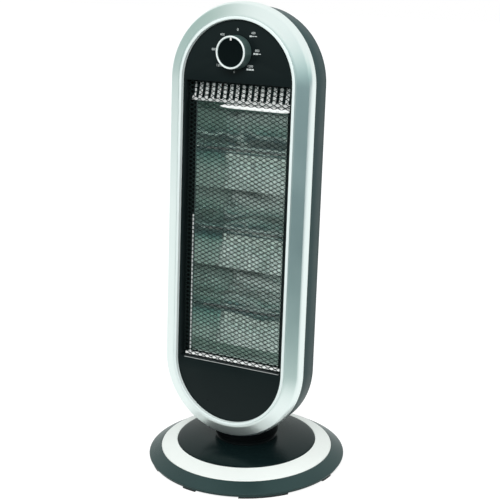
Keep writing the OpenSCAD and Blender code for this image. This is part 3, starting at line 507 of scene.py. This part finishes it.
def rear_shell():
    outside = shell_outline()
    inside = [(max(r - WALL, 1), min(v, HEAD_DEPTH - WALL)) for r, v in outside]
    obj = make("rear_shell", *stacked(outside[::-1] + inside, -SHELL_DROP), HEAD_PLACE, sharp=30)
    post = [(BOSS_R, FRAME_BACK), (BOSS_R, HEAD_DEPTH - 1)]
    posts = [round_cutter(x, w, post) for x, w in BOSSES]
    boolean(obj, make("posts", *join(*posts), HEAD_PLACE), "UNION")
    well = [(WELL_R, WELL_FLOOR), (WELL_R, HEAD_DEPTH - 0.6), (WELL_MOUTH_R, HEAD_DEPTH + 0.6)]
    slots = [louvre_cutter(w) for w in LOUVRE_ROWS]
    wells = [round_cutter(x, w, well) for x, w in BOSSES]
    boolean(obj, make("cutters", *join(*slots, *wells), HEAD_PLACE))
    boolean(obj, make("hole", *lathe_solid([(NECK_HOLE_R, 30), (NECK_HOLE_R, 74)])))
    fit(obj, "head", "grey_gloss_plastic", shell_grey, "rear_cover")

    outer, inner, half = HEAD_DEPTH - WALL, HEAD_DEPTH - 12, LOUVRE_HALF + 1
    blades = [bar_mesh([(outer, w + 5.2), (outer, w + 4.2), (inner, w - 3.2),
                        (inner - 0.8, w - 2.4)], -half, half) for w in LOUVRE_ROWS]
    vanes = make("louvre_vanes", *join(*blades), HEAD_PLACE)
    fit(vanes, "head", "grey_gloss_plastic", shell_grey)


def neck():
    """A round neck. Its top rises towards the back, up to the shell's sloping underside."""
    profile = [(NECK_R - 2.4, NECK_Z)]
    profile += bend((NECK_R - 1, NECK_Z), (NECK_R, NECK_Z), (NECK_R, NECK_Z + 1.2), 4)
    profile += [(NECK_R, NECK_TOP), (NECK_R - 2.4, NECK_TOP)]
    points, faces = lathe(profile, 128)
    points = [(x, y, z + max(0, y) * 0.21 if z > NECK_TOP - 1 else z) for x, y, z in points]
    fit(make("neck_cover", points, faces), "head", "black_gloss_plastic", neck_black, "neck_shroud")


def front_panel():
    obj = make("control_panel", *stacked([(PANEL_R, PANEL_V), (PANEL_R, PANEL_V + PANEL_T)]),
               HEAD_PLACE)
    outer = OPEN_HALF + OPEN_WALL
    wall = box_mesh(-outer, outer, PANEL_V + 0.4, FRAME_V, -OPEN_WALL, HEAD_LEN + OPEN_WALL)
    boolean(obj, make("wall", *wall, HEAD_PLACE), "UNION")
    opening = box_mesh(-OPEN_HALF, OPEN_HALF, -5, 40, 0, HEAD_LEN)
    boolean(obj, make("opening", *opening, HEAD_PLACE))
    shaft = round_cutter(KNOB_X, KNOB_W, [(SHAFT_HOLE_R, 0), (SHAFT_HOLE_R, 30)])
    boolean(obj, make("shaft_hole", *shaft, HEAD_PLACE))
    bevel(obj, 0.7, 3)
    bake(obj)
    fit(obj, "head", "black_plastic", panel_black, "front_panel")


# ---------------------------------------------------------------- guard and reflector
def guard():
    """Expanded metal: each strand is twisted, its upper edge forward and its lower edge back."""
    a, b = 5.22, 2.74                           # half a diamond's length and height
    tip, flat, high, tilt = 1.15, 0.75, 2.12, 0.4           # its opening, and the strands' twist
    columns = math.ceil(GUARD_HALF / a) + 1
    rows = math.ceil((GUARD_TOP - GUARD_LOW) / b) + 1
    diamond = ((0, 1, 5, 4), (1, 2, 7, 6), (1, 6, 5), (2, 3, 8, 7), (3, 0, 4, 9), (3, 9, 8))
    points, faces = [], []
    for j in range(rows + 1):
        for i in range(-columns, columns + 1):
            if (i + j) % 2:
                continue
            x, w, k = i * a, GUARD_LOW + j * b, len(points)
            points += [(x - a, GUARD_V, w), (x, GUARD_V, w + b), (x + a, GUARD_V, w),
                       (x, GUARD_V, w - b), (x - a + tip, GUARD_V, w),
                       (x - flat, GUARD_V + tilt, w + high), (x + flat, GUARD_V + tilt, w + high),
                       (x + a - tip, GUARD_V, w),
                       (x + flat, GUARD_V - tilt, w - high), (x - flat, GUARD_V - tilt, w - high)]
            faces += [tuple(k + q for q in face) for face in diamond]
    mesh = bpy.data.meshes.new("guard")
    mesh.from_pydata(points, [], faces)
    bm = bmesh.new()
    bm.from_mesh(mesh)
    bmesh.ops.remove_doubles(bm, verts=bm.verts, dist=0.01)
    for place, normal in (((GUARD_HALF, 0, 0), (1, 0, 0)), ((-GUARD_HALF, 0, 0), (-1, 0, 0)),
                          ((0, 0, GUARD_TOP), (0, 0, 1)), ((0, 0, GUARD_LOW), (0, 0, -1))):
        bmesh.ops.bisect_plane(bm, geom=bm.verts[:] + bm.edges[:] + bm.faces[:], plane_co=place,
                               plane_no=normal, clear_outer=True)
    bmesh.ops.transform(bm, matrix=Matrix.Scale(MM, 4) @ HEAD_PLACE, verts=bm.verts)
    bm.to_mesh(mesh)
    bm.free()
    obj = finish_mesh("guard", mesh)
    thicken(obj, 0.5, 40)
    fit(obj, "head", "dark_mesh", mesh_steel, "guard_mesh")


def guard_surround():
    """Dark bars at the sides and the top, a sill below whose near-white finish paints its glare,
    and a thin bright wire under the sill that paints the highlight on the panel opening's lower
    edge.
    """
    v0, v1, inner = 13.4, FRAME_V, GUARD_HALF - 2.3
    bars = [box_mesh(-GUARD_HALF, -inner, v0, v1, GUARD_LOW, GUARD_TOP),
            box_mesh(inner, GUARD_HALF, v0, v1, GUARD_LOW, GUARD_TOP),
            box_mesh(-inner, inner, v0, v1, GUARD_TOP - 2.3, GUARD_TOP)]
    obj = make("guard_surround", *join(*bars), HEAD_PLACE)
    bevel(obj, 0.4, 2)
    fit(obj, "head", "black_steel", black_steel, "guard_frame")

    # The sill is the reflector's lower flange; its near-white finish is a painted highlight for its
    # glare.
    top = GUARD_LOW + 4.4
    slope = [(v0 + 0.2, GUARD_LOW), (v0 - 1.0, GUARD_LOW + 1.2), (v0 + 0.8, top), (v1, top),
             (v1, GUARD_LOW)]
    sill = make("guard_sill", *bar_mesh(slope, -inner, inner), HEAD_PLACE)
    bevel(sill, 0.3, 2)
    fit(sill, "head", "mirror_aluminium", highlight_white)

    # Painted highlight: a bright wire in the panel opening's rounded lower edge, standing for the
    # light caught along that edge.
    line = [(x, PANEL_V + 0.2, -0.55) for x in (-GUARD_HALF + 6, -GUARD_HALF / 3, GUARD_HALF / 3,
                                                GUARD_HALF - 0.8)]
    edge_glint = make("sill_edge_highlight", *tube(line, 0.28), HEAD_PLACE, sharp=60)
    fit(edge_glint, "head", "mirror_aluminium", edge_highlight_white)


def trough_section(n=18):
    """Side view of the bright sheet, from the bottom flange to the comb: depth and height."""
    points = [(FLANGE_V, 0.5), (FLANGE_V, 5.0)] + bend((FLANGE_V, 5.2), (19.4, 6.6), (21.5, 7.2), 4)
    points += [(30, 9.5), (40, 12.2)]
    for i in range(LAMPS):
        for k in range(0 if i == 0 else 1, n + 1):
            t = k / n
            points.append((RIDGE_V + (TROUGH_V - RIDGE_V) * (1 - (2 * t - 1) ** 2),
                           TROUGH_BOTTOM + TROUGH_PITCH * (i + t)))
    points += [(40, TROUGH_TOP + 1.5), (30, TROUGH_TOP + 5.5)]
    points += bend((21.5, 331), (19.4, 332), (FLANGE_V, 333.2), 4)
    return points


def reflector():
    """The sheet with its three troughs, faintly wavy, and its side walls with their flanges."""
    columns, wall_front = 48, 21
    section = trough_section()
    rows = []
    for v, w in section:
        row = []
        for i in range(columns + 1):
            x = -SHEET_HALF + 2 * SHEET_HALF * i / columns
            share = min(1, max(0, (v - wall_front) / 12))
            wave = noise.noise(Vector((x * 0.035, w * 0.06, 3.1))) * 1.1 * share
            row.append((x, v + wave, w))
        rows.append(row)
    flange = bend((SHEET_HALF, 18.9), (SHEET_HALF + 0.1, 18.3), (SHEET_HALF + 1, 18.3), 3)
    flange += [(71.5, 18.3)]
    sides = []
    for side in (-1, 1):
        walls = []
        for v, w in section:
            if v >= wall_front:
                depths = [v + (FLANGE_V - v) * k / 6 for k in range(7)]
                walls.append([(side * SHEET_HALF, depth, w) for depth in depths]
                             + [(side * x, depth, w) for x, depth in flange])
        sides.append(strip(walls))
    obj = make("reflector_sheet", *join(strip(rows), *sides), HEAD_PLACE, sharp=50)
    thicken(obj, 0.6, 50)
    fit(obj, "head", "mirror_aluminium", mirror, "reflector")


def comb():
    """Rounded teeth between the vent slots, with the bright rail that they run into, in a
    near-white finish that paints the glare on them.
    """
    teeth = []
    front = bend((20.6, COMB_TOP - 0.4), (19.6, 344), (16.6, COMB_BOTTOM + 2.6), 12)
    for i in range(COMB_TEETH):
        x = (i - (COMB_TEETH - 1) / 2) * COMB_PITCH + COMB_X
        rows = []
        for k in range(9):
            a = math.pi * (k / 8 - 0.5)
            across, bulge = TOOTH_HALF * math.sin(a), 0.3 * math.cos(a)
            rows.append([(x + across, v - bulge, w) for v, w in front])
        teeth.append(strip(rows))
    fold = bend((16.6, COMB_BOTTOM + 2.8), (15.4, COMB_BOTTOM + 0.2), (15.8, COMB_BOTTOM - 0.4), 8)
    rail = [[(x, v, w) for x in (-70, 69.4)] for v, w in fold + [(18.9, COMB_BOTTOM - 0.2)]]
    obj = make("comb", *join(*teeth, strip(rail)), HEAD_PLACE, sharp=60)
    thicken(obj, 0.5, 60)
    fit(obj, "head", "mirror_aluminium", highlight_white)


def highlight_bars():
    """The bright bar under the comb, whose crown comes through the guard, and a bright wire beside
    it: painted highlights along the reflector's fold and along the side wall's bend.
    """
    loops = []
    for x, r in ((-27, 0.6), (-23, 2.0), (-9, 2.9), (56, 3.3), (64, 3.0), (68.2, 1.6)):
        side = [(13.2, -r), (12.15, -r * 0.85), (12.15, r * 0.1), (12.9, r * 0.45), (14.4, r * 0.9),
                (24, 0.3 + r), (24, 0.3 - r)]
        loops.append([(x, v, HIGHLIGHT_BAR_W + up) for v, up in side])
    glint_bar = make("top_highlight_bar", *loft(loops, ends=True), HEAD_PLACE, sharp=60)
    fit(glint_bar, "head", "mirror_aluminium", highlight_white)
    line = [(-SHEET_HALF - 0.2, 14.6, w) for w in (4.9, 60.9, 120.9, 186.9)]
    side = make("side_highlight_wire", *tube(line, 0.9, 10), HEAD_PLACE, sharp=60)
    fit(side, "head", "mirror_aluminium", highlight_white)


def lamps():
    """Three quartz tubes with a bore, and the coiled wire in each."""
    turns, steps, coil_half, coil_r, wire_r = 74, 10, 58, 1.2, 0.3
    coils = []
    for i, name in enumerate(("lamp_tube_bottom", "lamp_tube_middle", "lamp_tube_top")):
        w = TROUGH_BOTTOM + TROUGH_PITCH * (i + 0.5)
        end = [(2.6, -74)] + bend((3.2, -70), (LAMP_R, -69), (LAMP_R, -66), 5)
        rings = end + [(r, -x) for r, x in end[::-1]]
        outer = [[(x, LAMP_V + a, w + b) for a, b in circle(r, 28)] for r, x in rings]
        bore = [[(x, LAMP_V + (v - LAMP_V) * 0.8, w + (q - w) * 0.8) for x, v, q in loop]
                for loop in outer[::-1]]
        obj = make(name.replace("tube", "glass"), *loft(outer + bore, round_trip=True), HEAD_PLACE,
                   sharp=60)
        fit(obj, "head", "quartz_glass", quartz, name)
        path = [(-66, LAMP_V, w), (-60, LAMP_V, w)]
        for k in range(turns * steps + 1):
            a = 2 * math.pi * k / steps
            path.append((-coil_half + 2 * coil_half * k / (turns * steps),
                         LAMP_V + coil_r * math.cos(a), w + coil_r * math.sin(a)))
        coils.append(tube(path + [(60, LAMP_V, w), (66, LAMP_V, w)], wire_r, 5))
    obj = make("filament_coils", *join(*coils), HEAD_PLACE, sharp=80)
    fit(obj, "head", "filament_wire", filament_wire, "filaments")


# ---------------------------------------------------------------- knob and legend
def knob():
    """Turned from an outline of (radius, depth) before its axis: dished face, rim, side, inside."""
    r, face, back = KNOB_R, KNOB_FACE, KNOB_BACK
    profile = [(0.01, face + 0.75)]
    profile += bend((6, face + 0.7), (r - 6, face + 0.6), (r - 3.5, face + 0.35), 5)
    profile += [(r - 3.3, face + 0.1)]
    profile += bend((r - 1.0, face - 0.1), (r - 0.25, face - 0.05), (r - 0.2, face + 0.9), 4)
    profile += [(r - 0.12, face + 4), (r, back - 1.2)]
    profile += bend((r, back - 0.8), (r, back), (r - 0.8, back), 3)
    profile += [(r - 2.2, back), (r - 2.2, face + 3.2), (5.4, face + 3.2), (5.4, 1), (0.01, 1)]
    obj = make("knob_body", *lathe(profile, 128), KNOB_PLACE, sharp=28)
    fit(obj, "knob", "black_gloss_plastic", knob_side, "knob")
    obj.data.materials.append(knob_black)
    centre = KNOB_PLACE @ Vector((0, 0, face + 0.3)) * MM
    axis = (KNOB_PLACE.to_3x3() @ Vector((0, 0, 1))).normalized()
    for polygon in obj.data.polygons:
        gap = polygon.center - centre
        depth = gap.dot(axis)
        if abs(depth) < 1.0 * MM and (gap - axis * depth).length < (r - 3.3) * MM:
            polygon.material_index = 1

    ring = bend((r - 2.8, face + 0.2), (r - 2.7, face - 0.9), (r - 2.1, face - 1.0), 5)
    ring += bend((r - 1.2, face - 1.0), (r - 0.6, face - 0.9), (r - 0.5, face + 0.2), 5)
    obj = make("knob_bright_ring", *lathe(ring, 128), KNOB_PLACE, sharp=60)
    fit(obj, "knob", "knob_chrome", ring_silver, "knob_ring")

    bar = box_mesh(-1.05, 1.05, -r + 2.6, -r + 6.2, face - 0.2, face + 1.0)
    obj = make("knob_mark", *bar, KNOB_PLACE)
    bevel(obj, 0.35, 3)
    fit(obj, "knob", "white_plastic", white_plastic, "knob_pointer")


def text_mesh(name, body, size, x, w):
    """A number printed on the panel."""
    curve = bpy.data.curves.new(name, "FONT")
    curve.body, curve.size, curve.align_x, curve.align_y = body, size, "CENTER", "CENTER"
    curve.extrude = 0.03
    holder = bpy.data.objects.new(name, curve)
    bpy.context.scene.collection.objects.link(holder)
    bpy.context.view_layer.update()
    mesh = bpy.data.meshes.new_from_object(
        holder.evaluated_get(bpy.context.evaluated_depsgraph_get()))
    bpy.data.objects.remove(holder)
    upright = Matrix.Translation((x, PANEL_V - 0.02, w)) @ Matrix.Rotation(math.pi / 2, 4, "X")
    mesh.transform(Matrix.Scale(MM, 4) @ (HEAD_PLACE @ upright))
    return [tuple(v.co / MM) for v in mesh.vertices], [tuple(p.vertices) for p in mesh.polygons]


def legend():
    """Power levels round the knob: off at the top and bottom, three levels on each side. Those on
    the right have three small bars, as many of them tall as the level."""
    marks = [(-1.4, 63, 0, 4.6), (-4.8, 12, 0, 3.6), (19.9, 58, 1, 3.9), (25.9, 37.5, 2, 3.9),
             (17.1, 18.4, 3, 3.9), (-26.0, 19.1, 3, 4.2), (-33.8, 38, 2, 4.2),
             (-22.6, 56.4, 1, 4.2)]
    watts_a_level, rise, number_up, bars_down, bar_pitch = 400, 1.1, 1.9, 1.9, 3.5
    parts = []
    for i, (x, up, level, size) in enumerate(marks):
        w = HEAD_LEN + up + rise
        right = x > 10
        parts.append(text_mesh(f"mark_{i}", str(level * watts_a_level), size, x,
                               w + number_up if right else w))
        for k in range(3 if right else 0):
            high = 1.0 if k < level else 0.45
            middle, low = x + (k - 1) * bar_pitch, w - bars_down
            bar = box_mesh(middle - 1.5, middle + 1.5, PANEL_V - 0.06, PANEL_V + 0.1,
                           low - high, low + high)
            parts.append(moved(bar, HEAD_PLACE))
    fit(make("legend", *join(*parts)), "head", "white_plastic", legend_white)


# ---------------------------------------------------------------- base
def base_shell():
    """Its outline, as (radius, z): skirt, rim, seat of the ring, dome, collar, and the inside."""
    skirt, under = BASE_R - 2.6, BASE_WALL
    (out_r, out_z), (in_r, in_z) = RING_OUT, RING_IN
    top = [(skirt, 2.5), (skirt, 5.4)]
    top += bend((BASE_R - 0.9, RIM_Z - 1.2), (BASE_R, RIM_Z - 1), (BASE_R, RIM_Z - 0.2), 4)
    top += bend((BASE_R, RIM_Z), (BASE_R - 0.05, RIM_Z + 0.7), (BASE_R - 1.2, RIM_Z + 1.1), 5)
    top += [(out_r + 0.9, out_z - 0.25), (out_r + 0.25, out_z - 0.05), (out_r, out_z - RING_T)]
    top += [(in_r, in_z - RING_T), (in_r - 0.2, in_z), (in_r - 0.9, in_z + 0.35)]
    top += bend((in_r - 1.4, in_z + 0.6), (63, DOME_Z), (40.6, DOME_Z), 24)
    top += bend((40.2, DOME_Z + 0.05), (COLLAR_R, DOME_Z + 0.2), (COLLAR_R, DOME_Z + 1.2), 4)
    top += bend((COLLAR_R, COLLAR_Z - 0.8), (COLLAR_R, COLLAR_Z), (COLLAR_R - 0.8, COLLAR_Z), 4)
    top += [(PIVOT_HOLE_R, COLLAR_Z), (PIVOT_HOLE_R, COLLAR_Z - under),
            (COLLAR_R - under, COLLAR_Z - under), (COLLAR_R - under, DOME_Z - under)]
    top += bend((40, DOME_Z - under), (61, DOME_Z - under), (90.6, 21.1), 10) + [(112.3, 13.1)]
    top += [(skirt - under, 6.6), (skirt - under, 2.5)]
    obj = make("base_shell", *lathe(top, 220), sharp=26)
    gland = lathe_solid([(GLAND_R, 90), (GLAND_R, 140)], 40)
    to_back = Matrix.Translation((0, 0, GLAND_Z)) @ Matrix.Rotation(-math.pi / 2, 4, "X")
    boolean(obj, make("gland_hole", *moved(gland, to_back)))
    fit(obj, "base", "grey_gloss_plastic", base_grey, "base_cover")
    obj.data.materials.append(dome_painted_shade)
    obj.data.materials.append(neck_black)
    # Painted shade under the head: faces of the dome inside the ring take the darker dome finish,
    # and those of the collar round the neck take the neck's black.
    for face in obj.data.polygons:
        away = math.hypot(*(face.center / MM)[:2])
        if away < in_r + 0.5 and face.normal.z > -0.2:
            face.material_index = 2 if away < 41.5 else 1


def base_trim():
    """The silver band on the base: a cone with rounded edges."""
    (r1, z1), (r0, z0) = RING_OUT, RING_IN
    slope = (z1 - z0) / (r1 - r0)

    def on_cone(r, up):
        return r, z0 + slope * (r - r0) + up

    ring = [on_cone(r0 + 0.25, -RING_T)]
    ring += bend(on_cone(r0 + 0.25, -0.1), on_cone(r0 + 0.35, 0.3), on_cone(r0 + 0.9, 0.3), 4)
    ring += bend(on_cone(r1 - 0.9, 0.3), on_cone(r1 - 0.35, 0.3), on_cone(r1 - 0.25, -0.1), 4)
    ring += [on_cone(r1 - 0.25, -RING_T)]
    obj = make("base_trim_ring", *lathe(ring, 220), sharp=40)
    fit(obj, "base", "silver_plastic", trim_silver, "base_ring")


# ---------------------------------------------------------------- stage, light and camera
WHITE_GLOW = (0.94, 1, 0.985)
FLOOR_HALF = 6000


def azimuth_share(n, x, y, wide, narrow):
    """1 in front of the heater and a little to its right, 0 behind it, between two cosines of the
    azimuth. Also the distance from the axis."""
    across = n.math("SQRT", n.math("ADD", n.math("MULTIPLY", x, x), n.math("MULTIPLY", y, y)))
    ahead = n.math("ADD", n.math("MULTIPLY", x, 0.31), n.math("MULTIPLY", y, -0.95))
    forward = n.math("DIVIDE", ahead, n.math("MAXIMUM", across, 0.001))
    return n.spread(forward, 0, 1, wide, narrow), across


def ray_kinds(n):
    path = n.add("LightPath").outputs
    return path["Is Camera Ray"], n.math("MAXIMUM", path["Is Glossy Ray"],
                                         path["Is Transmission Ray"])


def mixed(n, share, first, second):
    return n.add("MixRGB", {"Fac": share, "Color1": first, "Color2": second}).outputs[0]


def studio():
    """White to the camera and plain soft light. Mirrored rays find white round the back and the
    sides, and a dim, greenish room with three cards in front."""
    world = bpy.data.worlds.new("studio")
    bpy.context.scene.world = world
    world.use_nodes = True
    n = Nodes(world.node_tree)
    around = n.add("TexCoord").outputs["Generated"]
    way = n.add("SeparateXYZ", {"Vector": around}).outputs
    front, _ = azimuth_share(n, way["X"], way["Y"], -0.45, 0.0)
    room = n.ramp(way["Z"], [(0.0, (0.05, 0.09, 0.12)), (0.05, (0.15, 0.29, 0.32)),
                             (0.15, (0.35, 0.59, 0.57)), (0.3, (0.69, 0.88, 0.85)),
                             (0.45, WHITE_GLOW), (1.0, WHITE_GLOW)])
    cards = (((-0.8, -0.37, 0.43), 31, 12, (0.33, 0.47, 0.42)),
             ((-0.93, -0.32, 0.12), 24, 8, (0.24, 0.4, 0.36)),
             ((-0.46, -0.88, 0.1), 20, 4, (0.85, 0.92, 0.88)))
    for direction, wide, narrow, color in cards:
        near = n.add("VectorMath", {0: around, 1: Vector(direction).normalized()},
                     operation="DOT_PRODUCT")
        share = n.spread(near.outputs["Value"], 0, 1, math.cos(math.radians(wide)),
                         math.cos(math.radians(narrow)))
        room = mixed(n, share, room, (*color, 1))
    camera_ray, mirrored = ray_kinds(n)
    glow = n.add("Background", {"Color": mixed(n, front, (*WHITE_GLOW, 1), room), "Strength": 1.0})
    sky = n.ramp(way["Z"], [(0.0, (0.36,) * 3), (0.4, (0.52,) * 3), (1.0, (1,) * 3)])
    plain = n.add("Background", {"Color": sky, "Strength": 1.0})
    white = n.add("Background", {"Color": (1, 1, 1, 1), "Strength": 1.0})
    first = n.add("MixShader", {0: mirrored, 1: plain.outputs[0], 2: glow.outputs[0]})
    last = n.add("MixShader", {0: camera_ray, 1: first.outputs[0], 2: white.outputs[0]})
    n.add("OutputWorld", {"Surface": last.outputs[0]})


def pale_floor():
    """A plain pale floor that keeps the shadow. Mirrored in the heater, it darkens to the front."""
    material, n, place = new_material("floor_white")
    spot = n.add("SeparateXYZ", {"Vector": place}).outputs
    front, away = azimuth_share(n, spot["X"], spot["Y"], 0.25, 0.6)
    dim = n.ramp(n.spread(away, 0, 1, 0.3, 4.3), [
        (0.0, WHITE_GLOW), (0.05, (0.46, 0.6, 0.56)), (0.15, (0.15, 0.28, 0.26)),
        (0.25, (0.03, 0.095, 0.11)), (0.4, (0.006, 0.03, 0.05)), (0.55, (0.01, 0.045, 0.06)),
        (0.85, (0.05, 0.14, 0.135)), (1.0, (0.06, 0.16, 0.15))])
    camera_ray, mirrored = ray_kinds(n)
    lit = n.add("BsdfDiffuse", {"Color": (0.4, 0.4, 0.4, 1)})
    lift = n.add("Emission", {"Color": (1, 1, 1, 1),
                              "Strength": n.math("MULTIPLY", camera_ray, 0.8)})
    seen = n.add("AddShader", {0: lit.outputs[0], 1: lift.outputs[0]})
    glow = n.add("Emission", {"Color": mixed(n, front, (*WHITE_GLOW, 1), dim), "Strength": 1.1})
    both = n.add("MixShader", {0: mirrored, 1: seen.outputs[0], 2: glow.outputs[0]})
    n.add("OutputMaterial", {"Surface": both.outputs[0]})
    corners = [(x, y, 0) for x, y in ((-FLOOR_HALF, -FLOOR_HALF), (FLOOR_HALF, -FLOOR_HALF),
                                      (FLOOR_HALF, FLOOR_HALF), (-FLOOR_HALF, FLOOR_HALF))]
    floor = make("floor", corners, [(0, 1, 2, 3)])
    floor.data.materials.append(material)


def softbox():
    """One soft lamp in front and above, unseen in reflections. Metres and watts."""
    place, target = Vector((0.8, -1.95, 1.85)), Vector((0, 0, 0.4))
    data = bpy.data.lights.new("softbox", "AREA")
    data.shape, data.size, data.size_y, data.energy = "RECTANGLE", 1.4, 1.0, 45
    obj = bpy.data.objects.new("softbox", data)
    obj.location = place
    obj.rotation_euler = (target - place).to_track_quat("-Z", "Y").to_euler()
    obj.visible_glossy = False
    bpy.context.scene.collection.objects.link(obj)


def camera():
    """The photograph's view: metres, and the fitted pitch and heading in degrees."""
    pitch, heading = -16.21, 28.44
    data = bpy.data.cameras.new("photo_view")
    data.lens, data.sensor_width = 85.84, 36
    obj = bpy.data.objects.new("photo_view", data)
    obj.location = (0.7027, -1.2873, 0.7122)
    obj.rotation_euler = (math.radians(90 + pitch), 0, math.radians(heading))
    bpy.context.scene.collection.objects.link(obj)
    bpy.context.scene.camera = obj


camera()
studio()
pale_floor()
softbox()
dress_cad_nodes()
front_ring()
rear_shell()
neck()
front_panel()
guard()
guard_surround()
reflector()
comb()
highlight_bars()
lamps()
knob()
legend()
base_shell()
base_trim()

bpy.context.scene.view_settings.view_transform = "Standard"
